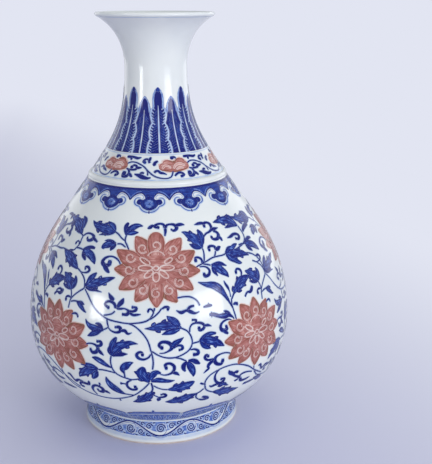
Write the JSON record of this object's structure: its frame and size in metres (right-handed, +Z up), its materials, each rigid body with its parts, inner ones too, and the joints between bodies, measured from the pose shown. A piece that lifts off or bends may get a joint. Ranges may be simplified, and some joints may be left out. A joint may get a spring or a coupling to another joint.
{
  "type": "pear-shaped porcelain vase",
  "caption": "Free-standing pear-shaped porcelain vase with flared mouth, slender neck, raised fillet, round belly and turned foot ring, painted in underglaze blue and red.",
  "frame": {"origin": "centre of the foot ring's flat resting face, on the vase's axis", "axes": "+Z up along the vase's axis of revolution, from the foot to the mouth; +Y away from the viewer of the picture, +X to the viewer's right"},
  "size_m": [0.1904, 0.1904, 0.2985],
  "materials": {
    "glazed_porcelain": "faintly blue-green clear glaze over white porcelain, glossy",
    "unglazed_foot": "glazed outside, bare biscuit on the resting face with a thin fired rust line",
    "cobalt_blue": "underglaze cobalt wash, dark outlines and paler fills, glossy",
    "copper_red": "underglaze copper-red wash, mottled, glossy"
  },
  "bodies": {
    "root": {"foot_ring": "unglazed_foot", "lower_belly": "glazed_porcelain", "upper_belly": "glazed_porcelain", "neck": "glazed_porcelain", "flared_mouth": "glazed_porcelain", "raised_fillet": "glazed_porcelain", "slip_fillet_foot": "glazed_porcelain", "slip_roll_belly": "glazed_porcelain", "slip_roll_collar": "glazed_porcelain", "slip_roll_waist": "glazed_porcelain"}
  },
  "joints": []
}
